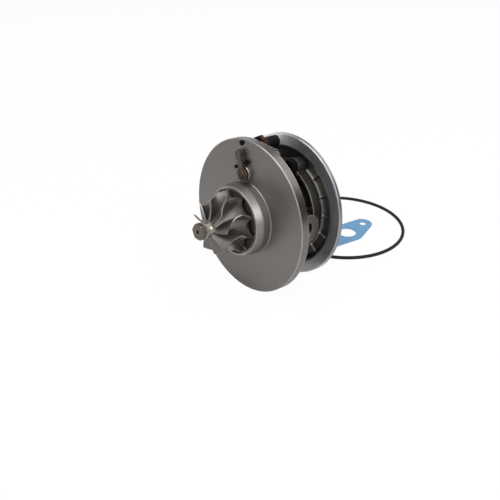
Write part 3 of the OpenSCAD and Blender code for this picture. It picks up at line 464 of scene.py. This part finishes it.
def dish(radius):
    """A row of the dish: pockets with round corners between the ribs, and a cut for the ear at each bolt."""
    def row(angle):
        turned_by = math.degrees(angle)
        pitch = 360 / rib_count
        from_rib = (turned_by - first_rib) % pitch
        start = turned_by - from_rib
        top = rib_top - (rib_top - ring_y) * max(0.0, (radius - slope_r) / (ring_in_r - slope_r))
        top += 0.2 * (1 - ease(radius, register_r, register_r + 0.25))
        depth = ease(radius, collar_r - 0.1, collar_r + 0.4) * (1 - ease(radius, 44.2, 47.2))
        depth *= ease(math.radians(min(from_rib, pitch - from_rib)) * radius, half_rib - 0.45, half_rib + 0.5)
        if start + pitch >= smooth_side[0] and start <= smooth_side[1]:
            depth = 0.0
        y = top + (pocket_floor - top) * depth
        off = min(math.hypot(
            radius * math.cos(angle) - ear_circle * math.cos(math.radians(a)),
            radius * math.sin(angle) - ear_circle * math.sin(math.radians(a))) for a in ears)
        y += (seat_y - y) * (1 - ease(off, ear_r, ear_r + 0.5))
        return radius * MM, y * MM
    return row


casting = bmesh.new()
turn(casting, [
    even(bore_r, pilot_y), even(pilot_r, pilot_y), even(pilot_r, seat_y), even(register_r, seat_y),
    *(dish(r) for r in dish_rows),
    even(ring_in_r - 0.4, ring_y + 0.25), even(ring_in_r, ring_y + 0.05), even(ring_in_r + 0.4, ring_y),
    even(ring_out_r - 0.8, ring_y), even(ring_out_r - 0.1, ring_y + 0.6), even(ring_out_r, ring_y + 0.9),
    even(ring_out_r, ring_back - 0.3), even(ring_out_r - 0.3, ring_back),
    even(spigot_r, ring_back), even(spigot_r, spigot_end - 0.4), even(spigot_r - 0.4, spigot_end),
    even(back_r + 1.0, plate_back - 0.8), even(back_r - 0.6, plate_back), even(bore_r, plate_back)], 720, True)
piece(
    "backplate_cast", casting, "cartridge", (aluminium,), ["compressor_backplate"], sharp=33)

# Bolts of the backplate, pin for the actuator's rod, stop pins and dowel: steel with a black oxide finish.
# The rod's pin has gone brown where it was riveted hot into the outer lever.
rivet_from, rivet_to = 9 * MM, 19 * MM
black_steel, tree, shader = material("black oxide steel")
y = place(tree)[2]
grain = use(tree, cast_grain, Grains_per_metre=2400.0)
worn = use(tree, edge_wear, Width=0.00025, Unevenness=0.7)["Worn"]
oxide = mix(tree, grain["Mottle"], rgb(0.0015, 0.0015, 0.002), rgb(0.004, 0.004, 0.005))
riveted_end = calc(
    tree, "MULTIPLY", between(tree, y, rivet_to, rivet_to - 5 * MM),
    between(tree, y, rivet_from, rivet_from + 3 * MM))
browned = mix(tree, riveted_end, oxide, rgb(0.030, 0.017, 0.012))
feed(
    tree, shader,
    Base_Color=mix(tree, worn, browned, rgb(0.020, 0.020, 0.022)),
    Roughness=calc(tree, "MULTIPLY_ADD", grain["Grain"], 0.2, 0.42),
    Specular_IOR_Level=0.06,
    Normal=bump(tree, grain["Grain"], 0.00002, 0.4))
for node in ("backplate_bolts", "rod_pin", "vane_stop_pins", "nozzle_dowel"):
    finish(node, black_steel)

# Seal ring in the backplate's pilot and O-ring of the compressor cover: moulded black rubber.
# The seal ring sits in its groove, the O-ring lies loose on the floor until the cover goes on.
rubber, tree, shader = material("black rubber")
grain = use(tree, cast_grain, Grains_per_metre=1900.0)
feed(
    tree, shader,
    Base_Color=mix(tree, grain["Mottle"], rgb(0.003, 0.003, 0.003), rgb(0.008, 0.008, 0.008)),
    Roughness=calc(tree, "MULTIPLY_ADD", grain["Grain"], 0.15, 0.55),
    Specular_IOR_Level=0.2,
    Normal=bump(tree, grain["Grain"], 0.00002, 0.4))
for node in ("backplate_seal_ring", "compressor_cover_o_ring"):
    finish(node, rubber)

# Thrust bearing and the two floating bushes: turned bearing bronze, drilled for oil.
# They run on an oil film, and are seen only with the cartridge apart.
bronze, tree, shader = material("bearing bronze")
marks = use(tree, turning_marks, Rings_per_metre=3600.0)
feed(
    tree, shader,
    Base_Color=mix(tree, marks["Streak"], rgb(0.42, 0.27, 0.10), rgb(0.62, 0.43, 0.19)),
    Metallic=1.0,
    Roughness=calc(tree, "MULTIPLY_ADD", marks["Streak"], 0.15, 0.24),
    Normal=bump(tree, marks["Groove"], 0.00001, 0.5))
for node in ("thrust_bearing", "turbine_bearing", "compressor_bearing"):
    finish(node, bronze)

# Oil deflector: a stamped disc of plain sheet steel, held between the thrust bearing and the backplate.
# It keeps the oil that leaves the bearing off the seal.
deflector_steel, tree, shader = material("stamped sheet steel")
grain = use(tree, cast_grain, Grains_per_metre=1100.0)
feed(
    tree, shader,
    Base_Color=mix(tree, grain["Mottle"], rgb(0.24, 0.23, 0.22), rgb(0.38, 0.37, 0.36)),
    Metallic=1.0,
    Roughness=calc(tree, "MULTIPLY_ADD", grain["Grain"], 0.2, 0.3))
finish("oil_deflector", deflector_steel)

# Turbine wheel: cast in nickel alloy and blasted to an even warm grey. The blade edges are ground to the
# housing's contour, and the neck and the hexagon of the nose are ground for balancing and assembly.
wheel_alloy, tree, shader = material("blasted nickel alloy")
grain = use(tree, cast_grain, Grains_per_metre=2600.0)
worn = use(tree, edge_wear, Width=0.00035, Unevenness=0.2)["Worn"]
blasted = mix(tree, grain["Mottle"], rgb(0.122, 0.109, 0.103), rgb(0.180, 0.163, 0.154))
feed(
    tree, shader,
    Base_Color=mix(tree, worn, blasted, rgb(0.30, 0.28, 0.265)),
    Metallic=1.0,
    Roughness=calc(tree, "MULTIPLY_ADD", grain["Grain"], 0.14, 0.44),
    Normal=bump(tree, grain["Grain"], 0.00003, 0.5))

ground_alloy, tree, shader = material("ground nickel alloy")
grain = use(tree, cast_grain, Grains_per_metre=3000.0)
worn = use(tree, edge_wear, Width=0.0002, Unevenness=0.2)["Worn"]
ground_colour = mix(tree, grain["Mottle"], rgb(0.16, 0.146, 0.136), rgb(0.23, 0.211, 0.198))
feed(
    tree, shader,
    Base_Color=mix(tree, worn, ground_colour, rgb(0.30, 0.280, 0.263)),
    Metallic=1.0,
    Roughness=calc(tree, "MULTIPLY_ADD", grain["Grain"], 0.15, 0.26),
    Normal=bump(tree, grain["Grain"], 0.000008, 0.4))


def sweep(r0, y0, r1, y1, t):
    """Quarter ellipse from (r0, y0), leaving towards the shaft, to (r1, y1), arriving along it."""
    quarter = math.pi / 2 * t
    return r0 - (r0 - r1) * math.sin(quarter), y1 - (y1 - y0) * math.cos(quarter)


def blade(shape, turn_by, root, tip, root_angle, tip_angle, thickness, spans):
    """Adds one blade, a skin between a root curve and a tip curve, thicker towards its root.
    Its narrow edge faces take the second material."""
    def middle(i, s):
        r, y = (root[i][n] + (tip[i][n] - root[i][n]) * s for n in (0, 1))
        a = math.radians(turn_by + root_angle[i] + (tip_angle[i] - root_angle[i]) * s)
        return Vector((r * math.cos(a), y, r * math.sin(a))) * MM

    last = len(root) - 1
    sides = []
    for facing in (1, -1):
        grid = []
        for i in range(last + 1):
            row = []
            for j in range(spans + 1):
                s = (j / spans) ** 1.6
                run = middle(min(i + 1, last), s) - middle(max(i - 1, 0), s)
                rise = middle(i, s + 0.02) - middle(i, s - 0.02)
                out = run.cross(rise).normalized() * facing * thickness(s) / 2 * MM
                row.append(shape.verts.new(middle(i, s) + out))
            grid.append(row)
        sides.append(grid)
    for grid in sides:
        for i in range(last):
            for j in range(spans):
                shape.faces.new((grid[i][j], grid[i + 1][j], grid[i + 1][j + 1], grid[i][j + 1]))
    one, two = sides
    for i in range(last):
        for j, ground in ((0, 0), (spans, 1)):
            shape.faces.new((one[i][j], one[i + 1][j], two[i + 1][j], two[i][j])).material_index = ground
    for j in range(spans):
        for i in (0, last):
            shape.faces.new((one[i][j], one[i][j + 1], two[i][j + 1], two[i][j])).material_index = 1


turbine_r, outlet_r, inlet_w, blade_len, hub_r = 24.0, 20.0, 7.0, 21.5, 6.6
blade_count, blade_phase, blade_lean, blade_bend = 9, 28.5, 44.0, 19.5
back_y, rim_y = -13.2, -14.6
hub_end = rim_y - blade_len - 2
neck_y, nose_y = hub_end - 5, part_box("turbine_wheel")[0].y / MM
flats, hexagon_angle, centre_hole = 11.3, 30.0, 1.5
boss_r, boss_end = 8.3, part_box("turbine_wheel")[1].y / MM
groove_from, groove_to, groove_r = -6.3, -8.5, 6.9
pitch = 360 / blade_count
scallop, scallop_r = 6.4, turbine_r * math.sin(math.radians(pitch / 2)) * 0.94
scallop_at = turbine_r - scallop + scallop_r


def rim(angle):
    """Radius of the scalloped back disc."""
    off = (math.degrees(angle) - blade_phase) % pitch - pitch / 2
    reach = scallop_at * math.sin(math.radians(off))
    if abs(reach) >= scallop_r:
        return turbine_r
    return min(turbine_r, scallop_at * math.cos(math.radians(off)) - math.sqrt(scallop_r ** 2 - reach ** 2))


def hub_row(share):
    """A row of the hub's face, from the scalloped rim at 0 to the neck at 1."""
    def row(angle):
        start = math.asin((turbine_r - rim(angle)) / (turbine_r - hub_r)) / (math.pi / 2)
        r, y = sweep(turbine_r, rim_y, hub_r, hub_end, start + (1 - start) * share)
        return r * MM, y * MM
    return row


def hexagon_row(along, bevel):
    """A row of the hexagon, cut off to a cone of this radius."""
    def row(angle):
        off = (angle - math.radians(hexagon_angle) + math.pi / 6) % (math.pi / 3) - math.pi / 6
        return min(flats / 2 / math.cos(off), bevel) * MM, along * MM
    return row


wheel = bmesh.new()
hub_steps = 30
turn(wheel, [
    even(journal, along) for journal, along in (
        (2.0, boss_end), (boss_r - 0.3, boss_end), (boss_r, boss_end - 0.3), (boss_r, groove_from),
        (groove_r, groove_from), (groove_r, groove_to), (boss_r, groove_to), (boss_r, back_y))
] + [lambda angle: (rim(angle) * MM, back_y * MM)] + [hub_row(k / hub_steps) for k in range(hub_steps + 1)], 360)


def thickening(edge, root_extra, fillet, fillet_reach):
    """Blade thickness at a share of its height: thin at the edge, thicker below, with a fillet at the root."""
    return lambda s: edge + root_extra * (1 - s) + fillet * max(0.0, 1 - s / fillet_reach) ** 2


turbine_thickness = thickening(edge=0.65, root_extra=0.75, fillet=1.5, fillet_reach=0.2)
blade_steps = 36
bury = 0.7
tip_y0, tip_y1 = rim_y - inlet_w, rim_y - blade_len


def bend(y):
    """Angle of a turbine blade round the shaft at a place along it."""
    passed = max(0.0, (rim_y - y) / blade_len)
    return blade_phase + blade_lean * passed - (blade_lean + blade_bend) * passed ** 2.2


shares = [k / blade_steps for k in range(blade_steps + 1)]
root = []
for t in shares:
    r, y = sweep(turbine_r, rim_y, hub_r, hub_end, t)
    root.append((r - bury * math.sin(math.pi / 2 * t), y + bury * math.cos(math.pi / 2 * t)))
tip = [sweep(turbine_r, tip_y0, outlet_r, tip_y1, t) for t in shares]
root_angle, tip_angle = [bend(y) for _, y in root], [bend(y) for _, y in tip]
for k in range(blade_count):
    blade(wheel, k * pitch, root, tip, root_angle, tip_angle, turbine_thickness, 14)
piece("turbine_wheel_cast", wheel, "rotor", (wheel_alloy, ground_alloy), ["turbine_wheel"])

neck_alloy, tree, shader = material("bright ground neck")
marks = use(tree, turning_marks, Rings_per_metre=7000.0)
feed(
    tree, shader,
    Base_Color=mix(tree, marks["Streak"], rgb(0.22, 0.203, 0.175), rgb(0.30, 0.278, 0.242)),
    Metallic=1.0,
    Roughness=calc(tree, "MULTIPLY_ADD", marks["Streak"], 0.1, 0.26),
    Normal=bump(tree, marks["Groove"], 0.000004, 0.5))
nose_alloy, tree, shader = material("heat-tinted nose")
grain = use(tree, cast_grain, Grains_per_metre=2600.0)
worn = use(tree, edge_wear, Width=0.0003, Unevenness=0.2)["Worn"]
tinted = mix(tree, grain["Mottle"], rgb(0.095, 0.078, 0.064), rgb(0.150, 0.126, 0.105))
feed(
    tree, shader,
    Base_Color=mix(tree, worn, tinted, rgb(0.27, 0.240, 0.210)),
    Metallic=1.0,
    Roughness=calc(tree, "MULTIPLY_ADD", grain["Grain"], 0.14, 0.36),
    Normal=bump(tree, grain["Grain"], 0.00002, 0.4))
nose = bmesh.new()
turn(nose, [
    even(hub_r - 2, hub_end + 1.5), even(hub_r - 0.02, hub_end + 0.02), even(hub_r - 0.3, hub_end - 0.6),
    even(hub_r - 0.3, neck_y + 1.0), even(hub_r - 1.3, neck_y + 0.05), even(hub_r - 1.4, neck_y),
    hexagon_row(neck_y, flats / 2 + 0.1), hexagon_row(neck_y - 0.4, flats / 2 + 0.8),
    hexagon_row(nose_y + 0.5, flats / 2 + 1.2), hexagon_row(nose_y, flats / 2 + 0.5),
    even(centre_hole + 0.3, nose_y), even(centre_hole, nose_y + 0.3), even(centre_hole, nose_y + 3.0),
    even(0.05, nose_y + 4.0)], 180)
for face in nose.faces:
    if neck_y + 0.5 < face.calc_center_median().y / MM < hub_end - 0.2:
        face.material_index = 1
piece("turbine_nose", nose, "rotor", (nose_alloy, neck_alloy), sharp=30)

# Rotor shaft and its nut: alloy steel, ground where it runs in the bearings.
# The shaft is welded to the turbine wheel, and the nut clamps the compressor wheel on its threaded end.
shaft_steel, tree, shader = material("ground shaft steel")
marks = use(tree, turning_marks, Rings_per_metre=8000.0)
feed(
    tree, shader,
    Base_Color=mix(tree, marks["Streak"], rgb(0.175, 0.171, 0.168), rgb(0.245, 0.241, 0.238)),
    Metallic=1.0,
    Roughness=calc(tree, "MULTIPLY_ADD", marks["Streak"], 0.12, 0.28),
    Normal=bump(tree, marks["Groove"], 0.000006, 0.5))
for node in ("rotor_shaft", "compressor_nut"):
    finish(node, shaft_steel)

nut_top, shaft_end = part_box("compressor_nut")[1].y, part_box("rotor_shaft")[1].y
stud_r = 2.5
threads = bmesh.new()
thread(
    threads, Vector((0, nut_top + 0.3 * MM, 0)), Vector((0, shaft_end - 0.3 * MM, 0)),
    stud_r - 0.02, stud_r + 0.2, 0.5)
piece("shaft_end_thread", threads, "rotor", (shaft_steel,), sharp=25)

# Compressor wheel: cast aluminium, with its back and rim turned and its blade edges bright.
# It has full and short blades by turns, and slides on the shaft's end.
wheel_aluminium, tree, shader = material("cast wheel aluminium")
grain = use(tree, cast_grain, Grains_per_metre=2000.0)
worn = use(tree, edge_wear, Width=0.0003, Unevenness=0.3)["Worn"]
casting = mix(tree, grain["Mottle"], rgb(0.37, 0.377, 0.385), rgb(0.49, 0.497, 0.505))
feed(
    tree, shader,
    Base_Color=mix(tree, worn, casting, rgb(0.68, 0.69, 0.70)),
    Metallic=1.0,
    Roughness=calc(tree, "MULTIPLY_ADD", grain["Grain"], 0.14, 0.3),
    Normal=bump(tree, grain["Grain"], 0.00002, 0.4))

wheel_low, wheel_high = (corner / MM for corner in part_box("compressor_wheel"))
compressor_r, inlet_r, tip_w, wheel_h, wheel_hub_r = 26.0, 19.0, 3.0, 19.6, 6.2
full_blades, short_from = 6, 0.66
back_y, rim_y, top_y = wheel_low.y, wheel_low.y + 1.2, wheel_high.y
hub_end = rim_y + wheel_h + 2
compressor = bmesh.new()
hub_curve = [sweep(compressor_r, rim_y, wheel_hub_r, hub_end, k / hub_steps) for k in range(hub_steps + 1)]
turn(compressor, [even(r, y) for r, y in [
    (stud_r, back_y), (compressor_r - 0.3, back_y), (compressor_r, back_y + 0.3), *hub_curve,
    (wheel_hub_r, top_y - 0.4), (wheel_hub_r - 0.4, top_y), (stud_r, top_y)]], 240, True)


def wrap(t, most):
    """Angle of a compressor blade round the shaft at a share of its length."""
    return most * (0.35 * t + 0.65 * t * t)


compressor_thickness = thickening(edge=0.7, root_extra=0.5, fillet=1.2, fillet_reach=0.18)
root_wrap, tip_wrap = 46, 58
bury = 0.6
for k in range(2 * full_blades):
    shares = [(1 if k % 2 == 0 else short_from) * n / blade_steps for n in range(blade_steps + 1)]
    root = []
    for t in shares:
        r, y = sweep(compressor_r, rim_y, wheel_hub_r, hub_end, t)
        root.append((r - bury * math.sin(math.pi / 2 * t), y - bury * math.cos(math.pi / 2 * t)))
    tip = [sweep(compressor_r, rim_y + tip_w, inlet_r, rim_y + wheel_h, t) for t in shares]
    root_angle, tip_angle = [wrap(t, root_wrap) for t in shares], [wrap(t, tip_wrap) for t in shares]
    blade(compressor, k * 180 / full_blades, root, tip, root_angle, tip_angle, compressor_thickness, 12)
piece(
    "compressor_wheel_cast", compressor, "rotor", (wheel_aluminium, wheel_aluminium),
    ["compressor_wheel"])

# Vane lever and its shaft: sintered steel. The shaft's end is riveted over hot in the lever's eye,
# and the heat left a brown tint round it.
pivot_low, pivot_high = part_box("lever_washer")
pivot = (pivot_low + pivot_high) / 2
tint_edge, tint_full = 7.5 * MM, 3.6 * MM
lever_steel, tree, shader = material("sintered lever steel")
point = place(tree)[0]
grain = use(tree, cast_grain, Grains_per_metre=1800.0)
worn = use(tree, edge_wear, Width=0.0003, Unevenness=0.4)["Worn"]
offset = put(tree, "VectorMath", {0: point, 1: (pivot.x, 0, pivot.z)}, operation="SUBTRACT").outputs[0]
offset = put(tree, "VectorMath", {0: offset, 1: (1, 0, 1)}, operation="MULTIPLY").outputs[0]
from_pivot = put(tree, "VectorMath", {0: offset}, operation="LENGTH").outputs["Value"]
tint = between(tree, from_pivot, tint_edge, tint_full)
sintered = mix(tree, grain["Mottle"], rgb(0.068, 0.058, 0.053), rgb(0.120, 0.106, 0.098))
heated = mix(tree, tint, sintered, rgb(0.062, 0.041, 0.030))
feed(
    tree, shader,
    Base_Color=mix(tree, worn, heated, rgb(0.52, 0.48, 0.45)),
    Metallic=1.0,
    Roughness=calc(tree, "MULTIPLY_ADD", grain["Grain"], 0.2, 0.36),
    Normal=bump(tree, grain["Grain"], 0.00004, 0.5))
for node in ("vane_lever", "lever_shaft"):
    finish(node, lever_steel)

shaft_front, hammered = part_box("lever_shaft")[0].y / MM, 0.09 * MM
head = bmesh.new()
turn(head, [even(r, shaft_front + back) for r, back in (
    (0.05, 0.10), (0.5, 0.06), (0.9, -0.06), (1.4, -0.32), (2.0, -0.45), (2.6, -0.36), (3.1, -0.02), (3.4, 0.5),
    (3.45, 0.95), (3.0, 1.1))], 96)
for corner in head.verts:
    a = math.atan2(corner.co.z, corner.co.x)
    corner.co.y += hammered * (math.sin(3 * a + 1.0) + 0.6 * math.sin(7 * a))
bmesh.ops.translate(head, verts=head.verts, vec=(pivot.x, 0, pivot.z))
piece("lever_shaft_head", head, "vane_control", (lever_steel,), sharp=60)

# Outer lever: stamped from steel plate and yellow passivated, fixed to the lever shaft's far end.
# It carries the pin for the actuator's rod.
gold_steel, tree, shader = material("yellow passivated steel")
grain = use(tree, cast_grain, Grains_per_metre=1400.0)
worn = use(tree, edge_wear, Width=0.0003, Unevenness=0.4)["Worn"]
passivated = mix(tree, grain["Mottle"], rgb(0.028, 0.016, 0.008), rgb(0.055, 0.034, 0.017))
feed(
    tree, shader,
    Base_Color=mix(tree, worn, passivated, rgb(0.11, 0.08, 0.05)),
    Metallic=1.0,
    Roughness=calc(tree, "MULTIPLY_ADD", grain["Grain"], 0.2, 0.3),
    Normal=bump(tree, grain["Grain"], 0.00002, 0.4))
finish("outer_lever", gold_steel)

# Gasket of the oil drain: punched from fibre sheet with a blue sealing coat.
# It lies loose beside the cartridge until the drain pipe is bolted on.
gasket_blue, tree, shader = material("blue gasket coat")
grain = use(tree, cast_grain, Grains_per_metre=1500.0)
feed(
    tree, shader,
    Base_Color=mix(tree, grain["Mottle"], rgb(0.087, 0.212, 0.372), rgb(0.112, 0.250, 0.405)),
    Roughness=calc(tree, "MULTIPLY_ADD", grain["Grain"], 0.2, 0.5),
    Normal=bump(tree, grain["Grain"], 0.00003, 0.4))
finish("oil_drain_gasket", gasket_blue)

# Floor, light and camera: a plain white sweep under the plane that touches both rims, soft light from above,
# and the photograph's own viewpoint, a little above and to the right of the turbine.
flange_r, flange_rear = -housing_low.z, 6.3 * MM
ring_r, ring_rear = -plate_low.z, plate_low.y + 3.4 * MM
lean = math.atan((flange_r - ring_r) / (ring_rear - flange_rear))
side = Vector((1, 0, 0))
ahead = Vector((0, math.cos(lean), math.sin(lean)))
above = Vector((0, -math.sin(lean), math.cos(lean)))
ground = Vector((0, flange_rear, -flange_r))


def toward(azimuth, elevation):
    """The direction to a point at this azimuth and height above the floor, seen from the object."""
    a, e = math.radians(azimuth), math.radians(elevation)
    return side * math.sin(a) * math.cos(e) - ahead * math.cos(a) * math.cos(e) + above * math.sin(e)


floor_mesh = bpy.data.meshes.new("floor")
floor_half, floor_gap, floor_glow = 6.0, 0.0002, 0.96
corners = [
    ground - above * floor_gap + side * sx * floor_half + ahead * sy * floor_half
    for sx, sy in ((-1, -1), (1, -1), (1, 1), (-1, 1))]
floor_mesh.from_pydata(corners, [], [(0, 1, 2, 3)])
floor = bpy.data.objects.new("floor", floor_mesh)
bpy.context.scene.collection.objects.link(floor)
white, tree, shader = material("white sweep")
feed(tree, shader, Base_Color=rgb(0.80, 0.80, 0.80), Roughness=0.9)
seen = put(tree, "LightPath").outputs["Is Camera Ray"]
glow = put(tree, "Emission", {"Color": rgb(1, 1, 1), "Strength": 1.0}).outputs[0]
share = calc(tree, "MULTIPLY", seen, floor_glow)
surface = put(tree, "MixShader", {0: share, 1: shader.outputs[0], 2: glow}).outputs[0]
tree.links.new(surface, tree.nodes["Material Output"].inputs["Surface"])
floor_mesh.materials.append(white)

world = bpy.data.worlds.new("white room")
bpy.context.scene.world = world
world.use_nodes = True
tree = world.node_tree
background = tree.nodes["Background"]
path = put(tree, "LightPath").outputs
direction = put(tree, "TexCoord").outputs["Generated"]
height = put(tree, "SeparateXYZ", {0: direction}).outputs["Z"]
ceiling = between(tree, height, 0.35, 0.85)
room = mix(tree, ceiling, rgb(1, 1, 1), rgb(0.22, 0.22, 0.23))
dark_corner = toward(126, 0)
to_corner = put(
    tree, "VectorMath", {0: direction, 1: dark_corner}, operation="DOT_PRODUCT").outputs["Value"]
room = mix(tree, between(tree, to_corner, 0.80, 0.94), room, rgb(0.10, 0.10, 0.105))
shown = mix(tree, path["Is Camera Ray"], room, rgb(1, 1, 1))
clear = calc(tree, "MAXIMUM", path["Is Camera Ray"], calc(
    tree, "MAXIMUM", path["Is Glossy Ray"], path["Is Transmission Ray"]))
tree.links.new(shown, background.inputs["Color"])
tree.links.new(calc(tree, "MULTIPLY_ADD", clear, 0.45, 0.55), background.inputs["Strength"])


def lamp(name, azimuth, elevation, distance, width, power):
    """A square soft lamp aimed at the middle of the cartridge."""
    light = bpy.data.lights.new(name, "AREA")
    light.size, light.energy = width, power
    made = bpy.data.objects.new(name, light)
    bpy.context.scene.collection.objects.link(made)
    made.location = toward(azimuth, elevation) * distance
    made.rotation_mode = "QUATERNION"
    made.rotation_quaternion = (-made.location).to_track_quat("-Z", "Y")


lamp("soft box above", -20, 68, 1.2, 0.9, 9.0)
lamp("soft box right", 92, 36, 1.2, 0.8, 9.0)
lamp("soft box over the camera", 47, 56, 1.3, 0.7, 5.0)
lamp("soft box behind", 168, 52, 1.3, 1.0, 6.0)

camera_azimuth, camera_elevation, camera_distance = 49.09, 31.05, 500 * MM
centre_right, centre_down = 2.59 * MM, 25.77 * MM
lens = 46.48
camera_data = bpy.data.cameras.new("camera")
camera_data.lens, camera_data.sensor_width = lens, 36.0
camera_data.clip_start, camera_data.clip_end = 0.01, 30.0
camera = bpy.data.objects.new("camera", camera_data)
bpy.context.scene.collection.objects.link(camera)
back = toward(camera_azimuth, camera_elevation)
right = above.cross(back).normalized()
up = back.cross(right)
eye = back * camera_distance + right * centre_right - up * centre_down
camera.matrix_world = Matrix.Translation(eye) @ Matrix((right, up, back)).transposed().to_4x4()
bpy.context.scene.camera = camera
bpy.context.scene.view_settings.view_transform = "Standard"
